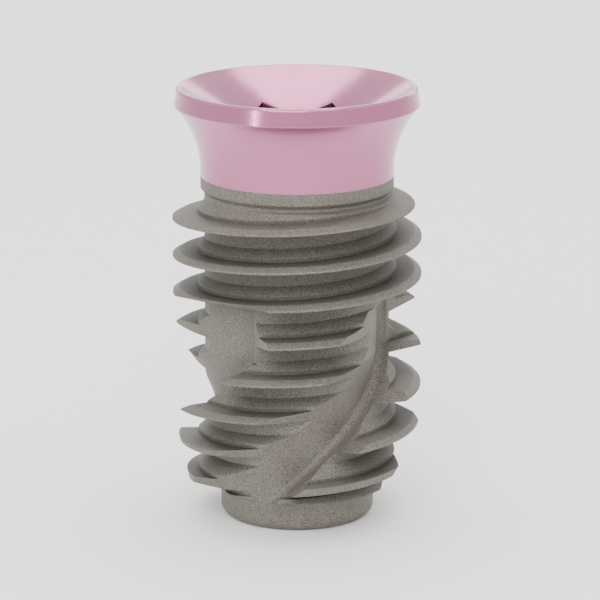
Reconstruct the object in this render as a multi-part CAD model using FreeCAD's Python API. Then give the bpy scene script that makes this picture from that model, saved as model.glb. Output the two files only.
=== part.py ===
"""Tissue-level dental implant: one titanium piece with a flared collar and a fluted bone thread.

The origin is the centre of the apex face, and the axis is +Z, towards the collar. The front is -Y.
Lengths are millimetres. Heights that are named "depth" are measured down from the collar's rim.
Angles round the axis are degrees from the front, positive towards +X.
"""
import FreeCAD, Part
import math
import os

from FreeCAD import Vector

# Whole part
total_length = 8.80

# Collar: a thin bevel at the rim, a band that widens downwards, and a concave flare to the neck
platform_diameter = 4.80
rim_bevel = 0.04
band_height = 0.35
band_diameter = 4.90
flare_end_depth = 1.70
neck_diameter = 3.87
neck_end_height = 6.78
neck_chamfer = 0.08

# Connection: a shallow funnel, a steeper lead-in, a hexagonal socket and a countersunk blind screw bore
funnel_depth = 0.56
lead_in_diameter = 2.80
lead_in_slope = 45.0
hexagon_across_flats = 2.42
hexagon_end_depth = 2.40
screw_bore_diameter = 1.60
bore_countersink = 0.12
screw_bore_end_depth = 5.40
drill_point_angle = 118.0

# Bone thread: right-handed, one start. From the crest up: a sloped nose, a flat flank and a step to the core
pitch = 0.76
thread_diameter = 5.00
core_diameter = 3.72
crest_land = 0.04
nose_diameter = 4.72
nose_rise = 0.08
upper_flank_rise = 0.01
step_diameter = 4.00
step_face_height = 0.08
step_rise = 0.17
lower_flank_drop = 0.10
thread_foot_inset = 0.12
front_crest_height = 6.316
thread_start_height = 6.65
thread_full_height = 6.43
thread_taper_height = 2.10
thread_fade_height = 0.76
thread_fade_diameter = 4.42
thread_end_height = 0.62
thread_end_diameter = 3.20

# Apex: the core narrows to a shoulder, then to a short plain tip with a rounded edge
core_taper_height = 1.80
shoulder_height = 0.85
shoulder_diameter = 3.40
tip_height = 0.45
tip_diameter = 3.10
apex_edge_radius = 0.20

# Flutes: reliefs with a broad convex floor and one steep wall. Each twists up from the tip to the turn,
# then runs straight with its wall opened, and leaves the thread on a slope
flute_count = 3
flute_lead = 9.73
flute_floor_distance = 1.60
flute_floor_radius = 3.80
flute_wall_lean = 4.0
flute_corner_radius = 0.22
flute_wall_angle = 35.0
flute_wall_height = 2.00
flute_turn_height = 3.53
flute_top_opening = 43.0
flute_exit_height = 4.51
flute_exit_slope = 22.8
flute_exit_offset = 8.0

platform_radius = platform_diameter / 2
thread_radius = thread_diameter / 2
core_radius = core_diameter / 2
neck_radius = neck_diameter / 2
tip_radius = tip_diameter / 2
nose_radius = nose_diameter / 2
step_radius = step_diameter / 2

# Radius that every cutter reaches, clear of the thread
clearance_outside = 0.5
outside = thread_radius + clearance_outside

# Cone angle of a helix that keeps its radius
no_cone = 0


def height(depth):
    """Height above the apex face of a point that lies so far below the rim."""
    return total_length - depth


def meridian(radius, z):
    """Point of an outline that is turned about the axis."""
    return Vector(radius, 0, z)


def chain(points):
    """Straight edges from each point to the next."""
    return [Part.makeLine(a, b) for a, b in zip(points, points[1:])]


def turned(edges):
    """Solid made by turning a closed outline about the axis."""
    face = Part.Face(Part.Wire(edges))
    return face.revolve(Vector(0, 0, 0), Vector(0, 0, 1), 360)


def tangent_arc(start, end):
    """Arc from start to end that leaves the end point along the axis."""
    width = abs(start.x - end.x)
    drop = abs(start.z - end.z)
    radius = (width ** 2 + drop ** 2) / (2 * width)
    centre = Vector(end.x + math.copysign(radius, start.x - end.x), 0, end.z)
    middle_direction = ((start - centre) + (end - centre)).normalize()
    return Part.Arc(start, centre + middle_direction * radius, end).toShape()


def blank():
    """Collar, neck, core and tip as one turned solid, before the thread and the cuts."""
    rim_inner = meridian(platform_radius - 2 * rim_bevel, total_length)
    rim_outer = meridian(platform_radius - rim_bevel, total_length)
    rim_edge = meridian(platform_radius, total_length - rim_bevel)
    band_edge = meridian(band_diameter / 2, height(band_height))
    flare_end = meridian(neck_radius, height(flare_end_depth))
    neck_end = meridian(neck_radius, neck_end_height)
    core_top = meridian(core_radius, neck_end_height - neck_chamfer)
    core_end = meridian(core_radius, core_taper_height)
    shoulder = meridian(shoulder_diameter / 2, shoulder_height)
    tip_start = meridian(tip_radius, tip_height)
    edge_start = meridian(tip_radius, apex_edge_radius)
    edge_end = meridian(tip_radius - apex_edge_radius, 0)
    quarter = apex_edge_radius * math.sqrt(0.5)
    edge_middle = meridian(edge_end.x + quarter, edge_start.z - quarter)

    edges = chain([meridian(0, 0), meridian(0, total_length), rim_inner, rim_outer, rim_edge, band_edge])
    edges.append(tangent_arc(band_edge, flare_end))
    edges += chain([flare_end, neck_end, core_top, core_end, shoulder, tip_start, edge_start])
    edges.append(Part.Arc(edge_start, edge_middle, edge_end).toShape())
    edges += chain([edge_end, meridian(0, 0)])
    return turned(edges)


def crest_envelope():
    """Turned solid that the thread's crest never leaves: it grows below the neck and fades at the tip."""
    start = meridian(neck_radius - thread_foot_inset, thread_start_height)
    full = meridian(thread_radius, thread_full_height)
    taper = meridian(thread_radius, thread_taper_height)
    fade = meridian(thread_fade_diameter / 2, thread_fade_height)
    end = meridian(thread_end_diameter / 2, thread_end_height)
    outline = [meridian(0, start.z), start, full, taper, fade, end, meridian(0, end.z)]
    return turned(chain(outline + outline[:1]))


def thread():
    """Bone thread: one ridge swept up a helix, its foot sunk in the core, trimmed to the envelope."""
    foot_radius = tip_radius - thread_foot_inset
    lower_slope = lower_flank_drop / (thread_radius - core_radius)
    nose_slope = nose_rise / (thread_radius - nose_radius)
    step_slope = step_rise / (step_radius - core_radius)
    past_crest = crest_land / (lower_slope + nose_slope)
    nose_top = crest_land + nose_rise
    flank_top = nose_top + upper_flank_rise
    step_corner = flank_top + step_face_height
    step_top = step_corner + step_rise + thread_foot_inset * step_slope
    profile = [
        meridian(thread_radius + past_crest, past_crest * lower_slope),
        meridian(nose_radius, nose_top),
        meridian(step_radius, flank_top),
        meridian(step_radius, step_corner),
        meridian(core_radius - thread_foot_inset, step_top),
        meridian(foot_radius, step_top),
        meridian(foot_radius, -(thread_radius - foot_radius) * lower_slope),
    ]
    turns_above = math.ceil((thread_start_height - front_crest_height) / pitch)
    turns_below = math.ceil((front_crest_height - thread_end_height) / pitch) + 1
    start_height = front_crest_height - turns_below * pitch
    helix = Part.makeLongHelix(pitch, (turns_above + turns_below) * pitch, core_radius, no_cone)
    sweep = Part.BRepOffsetAPI.MakePipeShell(Part.Wire(helix.Edges))
    sweep.setFrenetMode(True)
    sweep.add(Part.makePolygon(profile + profile[:1]))
    sweep.build()
    sweep.makeSolid()
    ridge = sweep.shape()
    ridge.translate(Vector(0, 0, start_height))
    ridge.rotate(Vector(0, 0, 0), Vector(0, 0, 1), -90)
    return ridge.common(crest_envelope())


def connection():
    """Everything that is cut down the axis: funnel, lead-in, hexagon, countersink and screw bore."""
    inradius = hexagon_across_flats / 2
    lead_in_radius = lead_in_diameter / 2
    lead_in_drop = (lead_in_radius - inradius) * math.tan(math.radians(lead_in_slope))
    mouth_rise = 0.2
    rim_radius = platform_radius - 2 * rim_bevel
    funnel_slope = (rim_radius - lead_in_radius) / funnel_depth
    bore_radius = screw_bore_diameter / 2
    countersink_radius = bore_radius + bore_countersink
    point_depth = screw_bore_end_depth + bore_radius / math.tan(math.radians(drill_point_angle / 2))
    outline = [
        meridian(0, height(-mouth_rise)),
        meridian(rim_radius + mouth_rise * funnel_slope, height(-mouth_rise)),
        meridian(lead_in_radius, height(funnel_depth)),
        meridian(inradius, height(funnel_depth + lead_in_drop)),
        meridian(countersink_radius, height(funnel_depth + lead_in_drop)),
        meridian(countersink_radius, height(hexagon_end_depth)),
        meridian(bore_radius, height(hexagon_end_depth + bore_countersink)),
        meridian(bore_radius, height(screw_bore_end_depth)),
        meridian(0, height(point_depth)),
    ]
    corners = [Vector(inradius / math.cos(math.radians(30)), 0, height(hexagon_end_depth))]
    for corner in range(1, 6):
        turn = FreeCAD.Rotation(Vector(0, 0, 1), 60 * corner)
        corners.append(turn.multVec(corners[0]))
    hexagon = Part.Face(Part.makePolygon(corners + corners[:1]))
    socket = hexagon.extrude(Vector(0, 0, hexagon_end_depth - funnel_depth))
    return turned(chain(outline + outline[:1])).fuse(socket)


def section(across, out):
    """Point of a flute's level cross-section, with the foot of its wall straight in front of the axis."""
    return Vector(across, -out, 0)


def flute_section(opening):
    """Level cross-section of one flute cutter: convex floor, corner radius and a wall that may be opened."""
    floor_centre = section(0, flute_floor_distance - flute_floor_radius)
    foot = section(0, flute_floor_distance)
    lean = math.radians(flute_wall_lean)
    up_wall = section(math.sin(lean), math.cos(lean))
    off_wall = section(-math.cos(lean), math.sin(lean))
    reach = flute_floor_radius * math.cos(lean)
    gap = 2 * flute_floor_radius * flute_corner_radius * (1 - math.sin(lean))
    corner_rise = math.sqrt(reach ** 2 + gap) - reach
    corner_centre = foot + up_wall * corner_rise + off_wall * flute_corner_radius
    wall_start = foot + up_wall * corner_rise
    to_corner = (corner_centre - floor_centre).normalize()
    floor_start = floor_centre + to_corner * flute_floor_radius
    into_corner = ((wall_start - corner_centre) + (floor_start - corner_centre)).normalize()
    corner_middle = corner_centre + into_corner * flute_corner_radius

    offset = flute_floor_radius - flute_floor_distance
    floor_cosine = (flute_floor_radius ** 2 + offset ** 2 - outside ** 2) / (2 * flute_floor_radius * offset)
    floor_angle = math.acos(floor_cosine)

    def on_floor(angle):
        return floor_centre + section(-math.sin(angle), math.cos(angle)) * flute_floor_radius

    opened = lean + math.radians(opening)
    wall_end = wall_start + section(math.sin(opened), math.cos(opened)) * (outside - flute_floor_distance)
    floor_end = on_floor(floor_angle)
    edges = chain([floor_end, section(-outside, outside), wall_end, wall_start])
    edges.append(Part.Arc(wall_start, corner_middle, floor_start).toShape())
    edges.append(Part.Arc(floor_start, on_floor(floor_angle / 2), floor_end).toShape())
    return Part.Wire(edges)


def wall_angle(z):
    """Angle from the front at which the foot of the first flute's wall stands at a height."""
    return flute_wall_angle + 360 * (z - flute_wall_height) / flute_lead


def flute():
    """One flute cutter: the section twisted up to the turn, then straight and opened, less its exit."""
    bottom = -apex_edge_radius
    twist_rise = flute_turn_height - bottom
    spine = Part.Wire(Part.makeLine(Vector(0, 0, bottom), Vector(0, 0, flute_turn_height)))
    guide = Part.makeLongHelix(flute_lead, twist_rise, thread_radius, no_cone)
    guide.translate(Vector(0, 0, bottom))
    profile = flute_section(0)
    profile.translate(Vector(0, 0, bottom))
    sweep = Part.BRepOffsetAPI.MakePipeShell(spine)
    sweep.setAuxiliarySpine(Part.Wire(guide.Edges), True, 0)
    sweep.add(profile)
    sweep.build()
    sweep.makeSolid()
    twisted = sweep.shape()
    twisted.rotate(Vector(0, 0, 0), Vector(0, 0, 1), wall_angle(bottom))

    exit_rise = (outside - flute_floor_distance) * math.tan(math.radians(flute_exit_slope))
    top = flute_exit_height + exit_rise
    straight = Part.Face(flute_section(flute_top_opening)).extrude(Vector(0, 0, top - flute_turn_height))
    straight.translate(Vector(0, 0, flute_turn_height))
    straight.rotate(Vector(0, 0, 0), Vector(0, 0, 1), wall_angle(flute_turn_height))

    past_exit = Part.makeBox(4 * outside, 4 * outside, 2 * outside, Vector(-2 * outside, -2 * outside, 0))
    past_exit.rotate(Vector(0, 0, 0), Vector(1, 0, 0), -flute_exit_slope)
    past_exit.translate(Vector(0, -flute_floor_distance, flute_exit_height))
    past_exit.rotate(Vector(0, 0, 0), Vector(0, 0, 1), wall_angle(flute_turn_height) - flute_exit_offset)
    return twisted.fuse(straight).cut(past_exit)


def make_implant():
    """The whole implant: turned blank and thread, less the connection and the flutes."""
    body = blank().fuse(thread()).cut(connection())
    first = flute()
    for index in range(flute_count):
        cutter = first.copy()
        cutter.rotate(Vector(0, 0, 0), Vector(0, 0, 1), 360 * index / flute_count)
        body = body.cut(cutter)
    return body


os.makedirs("parts", exist_ok=True)
implant = make_implant()
print("solids", len(implant.Solids), "valid", implant.isValid(), "volume", round(implant.Volume, 3))
implant.exportStep("parts/implant.step")
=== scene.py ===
"""Looks of the tissue-level dental implant.

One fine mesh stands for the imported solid, in two finishes, under soft light on a pale floor.
Lengths are millimetres up to the last step of make_body, and metres after it.
"""
import math

import bpy
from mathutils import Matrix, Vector


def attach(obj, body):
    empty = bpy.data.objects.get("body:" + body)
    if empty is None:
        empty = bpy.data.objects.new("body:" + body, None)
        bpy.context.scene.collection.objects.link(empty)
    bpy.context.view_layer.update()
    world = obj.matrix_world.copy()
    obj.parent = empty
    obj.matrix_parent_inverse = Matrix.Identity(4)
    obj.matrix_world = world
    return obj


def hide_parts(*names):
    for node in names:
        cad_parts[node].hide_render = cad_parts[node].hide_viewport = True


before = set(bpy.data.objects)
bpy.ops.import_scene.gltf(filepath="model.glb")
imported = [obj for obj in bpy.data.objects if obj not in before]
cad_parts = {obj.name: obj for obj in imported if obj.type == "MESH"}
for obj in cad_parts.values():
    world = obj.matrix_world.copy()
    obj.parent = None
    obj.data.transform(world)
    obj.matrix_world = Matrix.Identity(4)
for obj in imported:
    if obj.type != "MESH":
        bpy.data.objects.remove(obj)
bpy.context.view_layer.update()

# Metres in a millimetre
MM = 0.001

# Whole part
TOTAL_LENGTH = 8.80

# Collar
PLATFORM_RADIUS = 2.40
RIM_BEVEL = 0.04
BAND_HEIGHT = 0.35
BAND_RADIUS = 2.45
FLARE_END_DEPTH = 1.70
NECK_RADIUS = 1.935
COLOUR_END_DEPTH = 1.78
NECK_END_HEIGHT = 6.78
NECK_CHAMFER = 0.08

# Connection
FUNNEL_DEPTH = 0.56
LEAD_IN_RADIUS = 1.40
HEXAGON_INRADIUS = 1.21
HEXAGON_CORNER_RADIUS = HEXAGON_INRADIUS / math.cos(math.pi / 6)
HEXAGON_END_DEPTH = 2.40
COUNTERSINK = 0.12
BORE_RADIUS = 0.80
BORE_END_DEPTH = 5.40
DRILL_POINT_LENGTH = 0.48

# Thread
PITCH = 0.76
THREAD_RADIUS = 2.50
CORE_RADIUS = 1.86
CREST_LAND = 0.04
NOSE_RADIUS = 2.36
NOSE_RISE = 0.08
UPPER_FLANK_RISE = 0.01
STEP_RADIUS = 2.00
STEP_FACE_HEIGHT = 0.08
STEP_RISE = 0.17
LOWER_FLANK_DROP = 0.10
FOOT_INSET = 0.12
FRONT_CREST_HEIGHT = 6.316
THREAD_START_HEIGHT = 6.65
THREAD_FULL_HEIGHT = 6.43
THREAD_TAPER_HEIGHT = 2.10
THREAD_FADE_HEIGHT = 0.76
THREAD_FADE_RADIUS = 2.21
THREAD_END_HEIGHT = 0.62
THREAD_END_RADIUS = 1.60

# Apex
CORE_TAPER_HEIGHT = 1.80
SHOULDER_HEIGHT = 0.85
SHOULDER_RADIUS = 1.70
TIP_HEIGHT = 0.45
TIP_RADIUS = 1.55
APEX_EDGE_RADIUS = 0.20

# Flutes. The ledge keeps the cutter's two levels apart where it turns from twisted to straight
FLUTE_COUNT = 3
FLUTE_LEAD = 9.73
FLUTE_FLOOR_DISTANCE = 1.60
FLUTE_FLOOR_RADIUS = 3.80
FLUTE_WALL_LEAN = math.radians(4)
FLUTE_CORNER_RADIUS = 0.22
FLUTE_WALL_ANGLE = 35.0
FLUTE_WALL_HEIGHT = 2.00
FLUTE_TURN_HEIGHT = 3.53
TURN_LEDGE = 0.0005
FLUTE_TOP_OPENING = math.radians(43)
FLUTE_EXIT_HEIGHT = 4.51
FLUTE_EXIT_SLOPE = math.radians(22.8)
FLUTE_EXIT_OFFSET = 8

# Mesh fineness: steps in one turn, steps along an arc, and the least angle of a sharp edge
AROUND = 240
ALONG_ARC = 16
SHARP_ANGLE = math.radians(24)

# Blasted titanium, with painted shade that darkens its colour by ambient occlusion from open crests
# to the bottom of the grooves. Noise scales are per metre
CREST_COLOUR = (0.134, 0.1225, 0.1025)
WALL_PAINTED_SHADE = (0.084, 0.0765, 0.063)
GROOVE_PAINTED_SHADE = (0.011, 0.0095, 0.0075)
CREST_OPENNESS = 0.86
WALL_OPENNESS = 0.52
GROOVE_OPENNESS = 0.38
GROOVE_REACH = 0.70
BLASTED_METALLIC = 0.2
BLASTED_ROUGHNESS = (0.50, 0.72)
GRIT_SCALE = 38000.0
GRIT_DETAIL = 2.0
GRIT_ROUGHNESS = 0.6
GRIT_SWING = 0.58
GRIT_DEPTH = 0.006
CLOUD_SCALE = 1500.0
CLOUD_DETAIL = 3.0
CLOUD_SWING = 0.06

# Heights between which the painted groove shade is lifted at the neck and the tip, and by how much
NECK_OPEN_START = 6.50
NECK_OPEN_END = 6.70
TIP_OPEN_START = 0.95
TIP_OPEN_END = 0.75
END_SHADE_LIFT = 0.35

# Anodised film on the collar, and a darker copy of it deeper in the socket, whose darkness is
# painted shade
COLLAR_COLOURS = ((0.445, 0.150, 0.262), (0.475, 0.170, 0.287))
COLLAR_ROUGHNESS = 0.20
SOCKET_PAINTED_SHADE_COLOURS = ((0.085, 0.020, 0.042), (0.10, 0.026, 0.05))
SOCKET_ROUGHNESS = 0.34
FILM_METALLIC = 0.85
FILM_COAT = 0.12
FILM_COAT_ROUGHNESS = 0.06
FILM_SCALE = 500.0
FILM_DETAIL = 1.0
FILM_DRIFT = (0.35, 0.65)
# Painted shade on the film: how far ambient occlusion looks, and the least share of the colour that
# it leaves
FILM_REACH = 1.50
FILM_SHADE_FLOOR = 0.50
MARK_SCALE = 60000.0
MARK_DETAIL = 2.0
MARK_SWING = 0.015
MARK_ROUGHNESS_SWING = 0.03
MARK_DEPTH = 0.0001

# Shading: the radius of broken edges, the rays of two nodes, and the middle of a noise
EDGE_RADIUS = 0.04
EDGE_SAMPLES = 4
SHELTER_SAMPLES = 6
NOISE_LOW = 0.3
NOISE_HIGH = 0.7

# The mesh's slots for two of its finishes, and how far a face may lie past the hexagon or the seat
COLLAR_FINISH = 1
# The socket's slot holds a darker copy of the collar film, painted shade
SOCKET_SHADE_FINISH = 2
HEXAGON_MARGIN = 0.01
SEAT_MARGIN = 0.2

# Floor
FLOOR_COLOUR = (0.93, 0.93, 0.93, 1)
FLOOR_ROUGHNESS = 0.8
FLOOR_HALF_WIDTH = 400

# Light: strengths of the studio, then each lamp's place and size in metres and its power in watts
HORIZON_STRENGTH = 1.25
ZENITH_STRENGTH = 1.75
KEY = ((-0.012, -0.070, 0.058), (0.050, 0.050), 0.050)
STRIP = ((-0.050, -0.062, 0.014), (0.002, 0.020), 0.005)
OVERHEAD = ((0, 0.018, 0.100), (0.075, 0.070), 0.070)
BACK = ((0.015, 0.095, 0.036), (0.130, 0.026), 0.024)

# Camera: angle above level, distance from its aim, aim, lens and nearest distance that it sees
CAMERA_ELEVATION = math.radians(14.42)
CAMERA_DISTANCE = 70.58
CAMERA_AIM = (0.058, 0, 4.411)
CAMERA_LENS = 210
CAMERA_NEAR = 1

# How far a cutting tool reaches past the face that it opens, and the radius that clears the thread
TOOL_OVERLAP = 0.1
CLEARANCE_OUTSIDE = 0.5
OUTSIDE = THREAD_RADIUS + CLEARANCE_OUTSIDE


def height(depth):
    """Height above the apex face of a point that lies so far below the rim."""
    return TOTAL_LENGTH - depth


def mesh_object(name, points, faces):
    """New object from a list of points and a list of faces."""
    mesh = bpy.data.meshes.new(name)
    mesh.from_pydata([tuple(p) for p in points], [], faces)
    mesh.update()
    thing = bpy.data.objects.new(name, mesh)
    bpy.context.scene.collection.objects.link(thing)
    return thing


def around_axis(radius, angle, z):
    """Point at an angle from the front, in degrees, positive towards +X."""
    a = math.radians(angle)
    return (radius * math.sin(a), -radius * math.cos(a), z)


def swept(name, rings):
    """Closed solid through rings of points, with a flat cap at each end."""
    count = len(rings[0])
    points = [p for ring in rings for p in ring]
    last = (len(rings) - 1) * count
    faces = []
    for here in range(0, last, count):
        there = here + count
        for j in range(count):
            k = (j + 1) % count
            faces.append((here + j, there + j, there + k, here + k))
    faces.append(tuple(range(count)))
    faces.append(tuple(last + j for j in reversed(range(count))))
    return mesh_object(name, points, faces)


def turned(name, outline):
    """Closed solid turned about the axis, from an outline that starts and ends on the axis."""
    inner = outline[1:-1]
    count = len(inner)
    points = [around_axis(r, 360 * i / AROUND, z) for i in range(AROUND) for r, z in inner]
    first = len(points)
    points.append((0, 0, outline[0][1]))
    points.append((0, 0, outline[-1][1]))
    faces = []
    for i in range(AROUND):
        here = i * count
        there = (i + 1) % AROUND * count
        for j in range(count - 1):
            faces.append((here + j, there + j, there + j + 1, here + j + 1))
        faces.append((first, there, here))
        faces.append((here + count - 1, there + count - 1, first + 1))
    return mesh_object(name, points, faces)


def arc(centre, radius, start, end, steps):
    """Points of an arc in an outline, angles in radians, both ends included."""
    angles = [start + (end - start) * i / steps for i in range(steps + 1)]
    return [(centre[0] + radius * math.cos(a), centre[1] + radius * math.sin(a)) for a in angles]


def tangent_arc(start, end, steps):
    """Points from start to end of an arc that is upright at its end."""
    width = start[0] - end[0]
    drop = start[1] - end[1]
    radius = (width ** 2 + drop ** 2) / (2 * abs(width))
    side = math.copysign(1, width)
    sweep = math.asin(drop / radius)
    points = []
    for i in range(steps + 1):
        a = sweep * (1 - i / steps)
        points.append((end[0] + side * radius * (1 - math.cos(a)), end[1] + radius * math.sin(a)))
    return points


def blank():
    """Collar, neck, core and tip."""
    edge_centre = (TIP_RADIUS - APEX_EDGE_RADIUS, APEX_EDGE_RADIUS)
    outline = [(0, 0)]
    outline += arc(edge_centre, APEX_EDGE_RADIUS, -math.pi / 2, 0, ALONG_ARC // 2)
    outline += [(TIP_RADIUS, TIP_HEIGHT), (SHOULDER_RADIUS, SHOULDER_HEIGHT)]
    outline += [(CORE_RADIUS, CORE_TAPER_HEIGHT)]
    outline += [(CORE_RADIUS, NECK_END_HEIGHT - NECK_CHAMFER), (NECK_RADIUS, NECK_END_HEIGHT)]
    outline += [(NECK_RADIUS, height(COLOUR_END_DEPTH))]
    band_edge = (BAND_RADIUS, height(BAND_HEIGHT))
    flare_end = (NECK_RADIUS, height(FLARE_END_DEPTH))
    outline += tangent_arc(band_edge, flare_end, ALONG_ARC)[::-1]
    outline += [(PLATFORM_RADIUS, TOTAL_LENGTH - RIM_BEVEL)]
    outline += [(PLATFORM_RADIUS - RIM_BEVEL, TOTAL_LENGTH)]
    outline += [(PLATFORM_RADIUS - 2 * RIM_BEVEL, TOTAL_LENGTH), (0, TOTAL_LENGTH)]
    return turned("implant_body", outline)


def crest_envelope():
    """Turned solid that the thread's crest never leaves."""
    outline = [(0, THREAD_END_HEIGHT), (THREAD_END_RADIUS, THREAD_END_HEIGHT)]
    outline += [(THREAD_FADE_RADIUS, THREAD_FADE_HEIGHT), (THREAD_RADIUS, THREAD_TAPER_HEIGHT)]
    outline += [(THREAD_RADIUS, THREAD_FULL_HEIGHT)]
    outline += [(NECK_RADIUS - FOOT_INSET, THREAD_START_HEIGHT), (0, THREAD_START_HEIGHT)]
    return turned("crest_envelope", outline)


def ridge():
    """The thread's ridge as a helical sweep, with a sharp edge outside the crest envelope."""
    lower_slope = LOWER_FLANK_DROP / (THREAD_RADIUS - CORE_RADIUS)
    nose_slope = NOSE_RISE / (THREAD_RADIUS - NOSE_RADIUS)
    step_slope = STEP_RISE / (STEP_RADIUS - CORE_RADIUS)
    past_crest = CREST_LAND / (lower_slope + nose_slope)
    nose_top = CREST_LAND + NOSE_RISE
    flank_top = nose_top + UPPER_FLANK_RISE
    step_corner = flank_top + STEP_FACE_HEIGHT
    step_top = step_corner + STEP_RISE + FOOT_INSET * step_slope
    foot_radius = TIP_RADIUS - FOOT_INSET
    section = [
        (THREAD_RADIUS + past_crest, past_crest * lower_slope),
        (NOSE_RADIUS, nose_top),
        (STEP_RADIUS, flank_top),
        (STEP_RADIUS, step_corner),
        (CORE_RADIUS - FOOT_INSET, step_top),
        (foot_radius, step_top),
        (foot_radius, -(THREAD_RADIUS - foot_radius) * lower_slope),
    ]
    turns_above = math.ceil((THREAD_START_HEIGHT - FRONT_CREST_HEIGHT) / PITCH)
    turns_below = math.ceil((FRONT_CREST_HEIGHT - THREAD_END_HEIGHT) / PITCH) + 1
    # Half a step off the turned solids' corners, so that no two edges coincide
    rings = []
    for i in range(-turns_below * AROUND, turns_above * AROUND + 1):
        turn = (i + 0.5) / AROUND
        z = FRONT_CREST_HEIGHT + turn * PITCH
        rings.append([around_axis(r, 360 * turn, z + dz) for r, dz in section])
    return swept("thread_ridge", rings)


def flute_section(opening):
    """Level cross-section of a flute cutter, as steps across and out from the axis."""
    lean = FLUTE_WALL_LEAN
    radius = FLUTE_FLOOR_RADIUS
    reach = radius * math.cos(lean)
    gap = 2 * radius * FLUTE_CORNER_RADIUS * (1 - math.sin(lean))
    corner_rise = math.sqrt(reach ** 2 + gap) - reach
    centre = FLUTE_FLOOR_DISTANCE - radius
    wall_start = (corner_rise * math.sin(lean), FLUTE_FLOOR_DISTANCE + corner_rise * math.cos(lean))
    corner = (
        wall_start[0] - FLUTE_CORNER_RADIUS * math.cos(lean),
        wall_start[1] + FLUTE_CORNER_RADIUS * math.sin(lean),
    )
    floor_tilt = math.atan2(corner[0], corner[1] - centre)
    offset = -centre
    floor_end = math.acos((radius ** 2 + offset ** 2 - OUTSIDE ** 2) / (2 * radius * offset))
    length = OUTSIDE - FLUTE_FLOOR_DISTANCE
    opened = lean + opening
    wall_end = (
        wall_start[0] + length * math.sin(opened),
        wall_start[1] + length * math.cos(opened),
    )
    outline = [wall_end]
    outline += arc(corner, FLUTE_CORNER_RADIUS, -lean, -math.pi / 2 - floor_tilt, ALONG_ARC // 2)
    steps = 2 * ALONG_ARC
    for i in range(1, steps + 1):
        a = floor_tilt + (-floor_end - floor_tilt) * i / steps
        outline.append((radius * math.sin(a), centre + radius * math.cos(a)))
    outline.append((-OUTSIDE, OUTSIDE))
    return outline[::-1]


def flute(index):
    """One flute cutter: twisted up to the turn, then straight with its wall open, less its exit."""
    bottom = -APEX_EDGE_RADIUS
    levels = AROUND // 2
    top = FLUTE_EXIT_HEIGHT + (OUTSIDE - FLUTE_FLOOR_DISTANCE) * math.tan(FLUTE_EXIT_SLOPE)
    heights = [bottom + (FLUTE_TURN_HEIGHT - bottom) * i / levels for i in range(levels + 1)]
    sections = [(z, flute_section(0)) for z in heights]
    for z in (FLUTE_TURN_HEIGHT + TURN_LEDGE, top):
        sections.append((z, flute_section(FLUTE_TOP_OPENING)))
    rings = []
    for z, outline in sections:
        turn = wall_angle(min(z, FLUTE_TURN_HEIGHT)) + 360 * index / FLUTE_COUNT
        ring = []
        for across, out in outline:
            angle = math.degrees(math.atan2(across, out))
            ring.append(around_axis(math.hypot(across, out), turn + angle, z))
        rings.append(ring)
    cutter = swept(f"flute_{index}", rings)
    cut(cutter, past_exit(index))
    return cutter


def wall_angle(z):
    """Angle from the front at which the foot of the first flute's wall stands at a height."""
    return FLUTE_WALL_ANGLE + 360 * (z - FLUTE_WALL_HEIGHT) / FLUTE_LEAD


def past_exit(index):
    """Box above the slope on which a flute leaves the thread."""
    turn = wall_angle(FLUTE_TURN_HEIGHT) - FLUTE_EXIT_OFFSET + 360 * index / FLUTE_COUNT
    a = math.radians(turn)
    along = Vector((math.cos(a), math.sin(a), 0)) * 2 * OUTSIDE
    level = Vector((math.sin(a), -math.cos(a), 0))
    up = Vector((0, 0, 1))
    out = (level * math.cos(FLUTE_EXIT_SLOPE) + up * math.sin(FLUTE_EXIT_SLOPE)) * 2 * OUTSIDE
    foot = Vector(around_axis(FLUTE_FLOOR_DISTANCE, turn, FLUTE_EXIT_HEIGHT))
    rings = []
    for lift in (0, 2 * OUTSIDE):
        base = foot + (up * math.cos(FLUTE_EXIT_SLOPE) - level * math.sin(FLUTE_EXIT_SLOPE)) * lift
        rings.append([
            base - along - out,
            base + along - out,
            base + along + out,
            base - along + out,
        ])
    return swept("past_exit", rings)


def hexagon_socket():
    """Hexagonal prism of the socket, corners at +X and -X."""
    angles = [90 - 60 * i for i in range(6)]
    rings = []
    for depth in (HEXAGON_END_DEPTH, FUNNEL_DEPTH - TOOL_OVERLAP):
        rings.append([around_axis(HEXAGON_CORNER_RADIUS, a, height(depth)) for a in angles])
    return swept("hexagon", rings)


def connection():
    """Funnel, lead-in, countersink and bore. The cones run on inside the hexagon, off its faces."""
    rim_radius = PLATFORM_RADIUS - 2 * RIM_BEVEL
    funnel_slope = (rim_radius - LEAD_IN_RADIUS) / FUNNEL_DEPTH
    throat = BORE_RADIUS + COUNTERSINK + TOOL_OVERLAP
    outline = [
        (0, height(BORE_END_DEPTH + DRILL_POINT_LENGTH)),
        (BORE_RADIUS, height(BORE_END_DEPTH)),
        (BORE_RADIUS, height(HEXAGON_END_DEPTH + COUNTERSINK)),
        (throat, height(HEXAGON_END_DEPTH - TOOL_OVERLAP)),
        (throat, height(FUNNEL_DEPTH + LEAD_IN_RADIUS - throat)),
        (LEAD_IN_RADIUS, height(FUNNEL_DEPTH)),
        (rim_radius + TOOL_OVERLAP * funnel_slope, height(-TOOL_OVERLAP)),
        (0, height(-TOOL_OVERLAP)),
    ]
    return turned("connection", outline)


def boolean(thing, tool, operation):
    """Applies a boolean between closed meshes to thing and removes the tool."""
    modifier = thing.modifiers.new(operation, "BOOLEAN")
    modifier.operation = operation
    modifier.solver = "MANIFOLD"
    modifier.object = tool
    bpy.context.view_layer.update()
    graph = bpy.context.evaluated_depsgraph_get()
    result = bpy.data.meshes.new_from_object(thing.evaluated_get(graph))
    thing.modifiers.clear()
    old = thing.data
    thing.data = result
    bpy.data.meshes.remove(old)
    bpy.data.objects.remove(tool)


def cut(thing, tool):
    """Takes a closed tool out of a closed mesh."""
    boolean(thing, tool, "DIFFERENCE")


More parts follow.
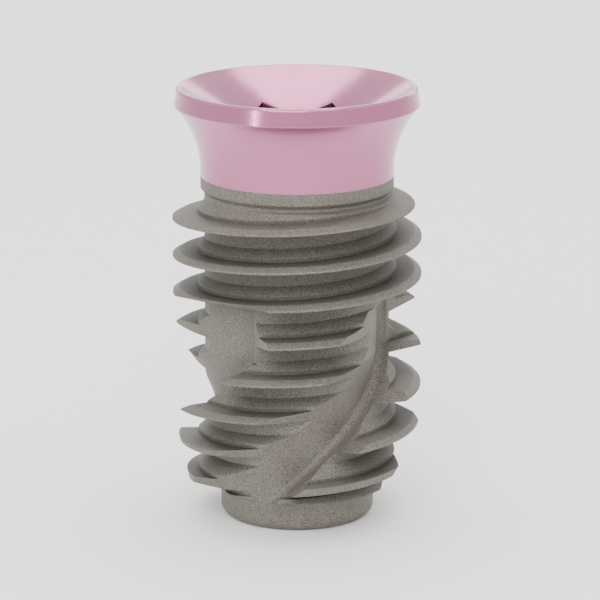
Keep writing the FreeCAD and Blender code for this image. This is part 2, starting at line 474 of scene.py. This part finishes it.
def joined(things):
    """One object out of several that don't touch."""
    points = []
    faces = []
    for thing in things:
        first = len(points)
        points += [v.co.copy() for v in thing.data.vertices]
        faces += [tuple(first + i for i in p.vertices) for p in thing.data.polygons]
        bpy.data.objects.remove(thing)
    return mesh_object("joined", points, faces)


def make_body():
    """The whole implant as one closed mesh, in metres."""
    thread = ridge()
    boolean(thread, crest_envelope(), "INTERSECT")
    body = blank()
    boolean(body, thread, "UNION")
    cut(body, connection())
    cut(body, hexagon_socket())
    cut(body, joined([flute(index) for index in range(FLUTE_COUNT)]))
    for vertex in body.data.vertices:
        vertex.co *= MM
    body.data.shade_smooth()
    body.data.set_sharp_from_angle(angle=SHARP_ANGLE)
    return body


def node(tree, kind, **inputs):
    """New shader node with its sockets set by name; a socket given an output is linked to it."""
    made = tree.nodes.new(kind)
    for name, value in inputs.items():
        socket = made.inputs[name.replace("_", " ")]
        if isinstance(value, bpy.types.NodeSocket):
            tree.links.new(value, socket)
        else:
            socket.default_value = value
    return made


def new_material(name):
    """Empty node material and its principled shader."""
    material = bpy.data.materials.new(name)
    material.use_nodes = True
    shader = material.node_tree.nodes["Principled BSDF"]
    return material, material.node_tree, shader


def ramp(tree, factor, stops):
    """Colour ramp over a factor, from pairs of position and colour."""
    made = node(tree, "ShaderNodeValToRGB", Fac=factor)
    elements = made.color_ramp.elements
    for element, (position, colour) in zip(elements, (stops[0], stops[-1])):
        element.position = position
        element.color = (*colour, 1)
    for position, colour in stops[1:-1]:
        elements.new(position).color = (*colour, 1)
    return made.outputs["Color"]


def spread(tree, value, low, high):
    """Stretches the middle of a noise, where nearly all of it lies, to a range."""
    return node(tree, "ShaderNodeMapRange", Value=value, From_Min=NOISE_LOW, From_Max=NOISE_HIGH,
                To_Min=low, To_Max=high).outputs["Result"]


def swing(tree, value, amount):
    """Factor that a noise moves by an amount to either side of 1."""
    return spread(tree, value, 1 - amount, 1 + amount)


def noise(tree, place, scale, detail, roughness=0.5):
    """Noise at a place in metres, with a scale per metre."""
    return node(tree, "ShaderNodeTexNoise", Vector=place, Scale=scale, Detail=detail,
                Roughness=roughness).outputs["Fac"]


def painted_shade_lift(tree, place, start, end):
    """Rise from nothing at one height to the full lift of the painted groove shade at the neck and
    tip at another.
    """
    return node(tree, "ShaderNodeMapRange", Value=place, From_Min=start * MM, From_Max=end * MM,
                To_Max=END_SHADE_LIFT).outputs["Result"]


def scaled(tree, colour, factor):
    """Colour times a factor that varies over the surface."""
    made = node(tree, "ShaderNodeVectorMath")
    made.operation = "SCALE"
    tree.links.new(colour, made.inputs[0])
    tree.links.new(factor, made.inputs["Scale"])
    return made.outputs["Vector"]


def added(tree, first, second):
    """Sum of two values."""
    made = node(tree, "ShaderNodeMath")
    tree.links.new(first, made.inputs[0])
    tree.links.new(second, made.inputs[1])
    return made.outputs["Value"]


def relief(tree, shader, height_map, depth):
    """Fine relief of a given depth, over edges that are broken by a small radius."""
    edge = node(tree, "ShaderNodeBevel", Radius=EDGE_RADIUS * MM)
    edge.samples = EDGE_SAMPLES
    bump = node(tree, "ShaderNodeBump", Distance=depth * MM, Height=height_map,
                Normal=edge.outputs["Normal"])
    tree.links.new(bump.outputs["Normal"], shader.inputs["Normal"])


def painted_shade_occlusion(tree, reach):
    """How open a point is within a reach: 1 on a bare outer face, and less in a groove. The
    materials paint shade into their colour from it.
    """
    occlusion = node(tree, "ShaderNodeAmbientOcclusion", Distance=reach * MM)
    occlusion.only_local = True
    occlusion.samples = SHELTER_SAMPLES
    return occlusion.outputs["AO"]


def blasted_titanium():
    """Grit-blasted titanium: greige, finely speckled and pitted, with painted shade that darkens it
    down in the grooves.
    """
    material, tree, shader = new_material("blasted_titanium")
    shader.inputs["Metallic"].default_value = BLASTED_METALLIC
    place = node(tree, "ShaderNodeTexCoord").outputs["Object"]
    grit = noise(tree, place, GRIT_SCALE, GRIT_DETAIL, GRIT_ROUGHNESS)
    cloud = noise(tree, place, CLOUD_SCALE, CLOUD_DETAIL)
    up = node(tree, "ShaderNodeSeparateXYZ", Vector=place).outputs["Z"]
    neck = painted_shade_lift(tree, up, NECK_OPEN_START, NECK_OPEN_END)
    tip = painted_shade_lift(tree, up, TIP_OPEN_START, TIP_OPEN_END)
    # Painted shade: ambient occlusion, lifted at the neck and the tip, darkens the colour from the
    # open crests down to the bottom of the grooves
    openness = added(tree, added(tree, painted_shade_occlusion(tree, GROOVE_REACH), neck), tip)
    painted_shade_tone = ramp(tree, openness, [
        (GROOVE_OPENNESS, GROOVE_PAINTED_SHADE),
        (WALL_OPENNESS, WALL_PAINTED_SHADE),
        (CREST_OPENNESS, CREST_COLOUR),
    ])
    speckled = scaled(tree, painted_shade_tone, swing(tree, grit, GRIT_SWING))
    colour = scaled(tree, speckled, swing(tree, cloud, CLOUD_SWING))
    tree.links.new(colour, shader.inputs["Base Color"])
    tree.links.new(spread(tree, grit, *BLASTED_ROUGHNESS), shader.inputs["Roughness"])
    relief(tree, shader, grit, GRIT_DEPTH)
    return material


def turning_marks(tree):
    """Noise that is the same all round the axis, so it makes the fine rings of a turned face."""
    place = node(tree, "ShaderNodeTexCoord").outputs["Object"]
    parts = node(tree, "ShaderNodeSeparateXYZ", Vector=place).outputs
    level = node(tree, "ShaderNodeCombineXYZ", X=parts["X"], Y=parts["Y"]).outputs["Vector"]
    radius = node(tree, "ShaderNodeVectorMath", Vector=level)
    radius.operation = "LENGTH"
    ring = node(tree, "ShaderNodeCombineXYZ", X=radius.outputs["Value"], Y=parts["Z"])
    return noise(tree, ring.outputs["Vector"], MARK_SCALE, MARK_DETAIL)


def anodised(name, colours, roughness):
    """Smooth turned titanium under a thin film, whose tint drifts a little over the surface, with
    painted shade where ambient occlusion finds it sheltered.
    """
    material, tree, shader = new_material(name)
    shader.inputs["Metallic"].default_value = FILM_METALLIC
    shader.inputs["Coat Weight"].default_value = FILM_COAT
    shader.inputs["Coat Roughness"].default_value = FILM_COAT_ROUGHNESS
    place = node(tree, "ShaderNodeTexCoord").outputs["Object"]
    drift = noise(tree, place, FILM_SCALE, FILM_DETAIL)
    tint = ramp(tree, drift, list(zip(FILM_DRIFT, colours)))
    marks = turning_marks(tree)
    # Painted shade: the film's colour darkens where ambient occlusion finds it sheltered
    depth = node(tree, "ShaderNodeMapRange", Value=painted_shade_occlusion(tree, FILM_REACH),
                 From_Min=FILM_SHADE_FLOOR, From_Max=1.0, To_Min=FILM_SHADE_FLOOR, To_Max=1.0)
    shaded = scaled(tree, tint, depth.outputs["Result"])
    colour = scaled(tree, shaded, swing(tree, marks, MARK_SWING))
    gloss = spread(tree, marks, roughness - MARK_ROUGHNESS_SWING, roughness + MARK_ROUGHNESS_SWING)
    tree.links.new(colour, shader.inputs["Base Color"])
    tree.links.new(gloss, shader.inputs["Roughness"])
    relief(tree, shader, marks, MARK_DEPTH)
    return material


def finish_faces(body):
    """Gives each face its finish by where it lies."""
    body.data.materials.clear()
    body.data.materials.append(blasted_titanium())
    body.data.materials.append(anodised("anodised_collar", COLLAR_COLOURS, COLLAR_ROUGHNESS))
    body.data.materials.append(anodised("anodised_socket_painted_shade", SOCKET_PAINTED_SHADE_COLOURS, SOCKET_ROUGHNESS))
    colour_end = height(COLOUR_END_DEPTH) * MM
    seat = (height(FUNNEL_DEPTH) - SEAT_MARGIN) * MM
    bore_end = height(BORE_END_DEPTH + DRILL_POINT_LENGTH) * MM
    inside = (HEXAGON_CORNER_RADIUS + HEXAGON_MARGIN) * MM
    for face in body.data.polygons:
        centre = face.center
        if math.hypot(centre.x, centre.y) < inside and centre.z > bore_end:
            # Socket faces below the seat take the darker copy of the film, painted shade
            face.material_index = COLLAR_FINISH if centre.z > seat else SOCKET_SHADE_FINISH
        elif centre.z > colour_end:
            face.material_index = COLLAR_FINISH


def make_floor():
    """Plain pale floor under the apex."""
    half = FLOOR_HALF_WIDTH * MM
    corners = [(-half, -half, 0), (half, -half, 0), (half, half, 0), (-half, half, 0)]
    floor = mesh_object("floor", corners, [(0, 1, 2, 3)])
    material, _, shader = new_material("floor")
    shader.inputs["Base Color"].default_value = FLOOR_COLOUR
    shader.inputs["Roughness"].default_value = FLOOR_ROUGHNESS
    floor.data.materials.append(material)


def area_light(name, target, place, size, power):
    """Soft box at a place, turned to its target."""
    data = bpy.data.lights.new(name, "AREA")
    data.shape = "RECTANGLE"
    data.size, data.size_y = size
    data.energy = power
    light = bpy.data.objects.new(name, data)
    light.location = place
    light.rotation_euler = (Vector(target) - Vector(place)).to_track_quat("-Z", "Y").to_euler()
    bpy.context.scene.collection.objects.link(light)


def make_lights():
    """Studio light that grows towards the zenith, a key, a strip and two boxes for the collar."""
    world = bpy.data.worlds.new("studio")
    world.use_nodes = True
    tree = world.node_tree
    direction = node(tree, "ShaderNodeTexCoord").outputs["Generated"]
    rise = node(tree, "ShaderNodeSeparateXYZ", Vector=direction).outputs["Z"]
    strength = node(tree, "ShaderNodeMapRange", Value=rise, To_Min=HORIZON_STRENGTH,
                    To_Max=ZENITH_STRENGTH)
    background = tree.nodes["Background"]
    background.inputs["Color"].default_value = (1, 1, 1, 1)
    tree.links.new(strength.outputs["Result"], background.inputs["Strength"])
    bpy.context.scene.world = world
    middle = (0, 0, TOTAL_LENGTH / 2 * MM)
    collar = (0, 0, TOTAL_LENGTH * MM)
    area_light("key", middle, *KEY)
    area_light("strip", collar, *STRIP)
    area_light("overhead", collar, *OVERHEAD)
    area_light("back", collar, *BACK)


def make_camera():
    """Camera at the photograph's angle, found by fitting the rim, the thread and the tip."""
    aim = Vector(CAMERA_AIM) * MM
    towards = Vector((0, -math.cos(CAMERA_ELEVATION), math.sin(CAMERA_ELEVATION)))
    data = bpy.data.cameras.new("camera")
    data.lens = CAMERA_LENS
    data.clip_start = CAMERA_NEAR * MM
    camera = bpy.data.objects.new("camera", data)
    camera.location = aim + towards * CAMERA_DISTANCE * MM
    camera.rotation_euler = (math.pi / 2 - CAMERA_ELEVATION, 0, 0)
    bpy.context.scene.collection.objects.link(camera)
    bpy.context.scene.camera = camera


body = make_body()
finish_faces(body)
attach(body, "root")
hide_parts("implant")
make_floor()
make_lights()
make_camera()
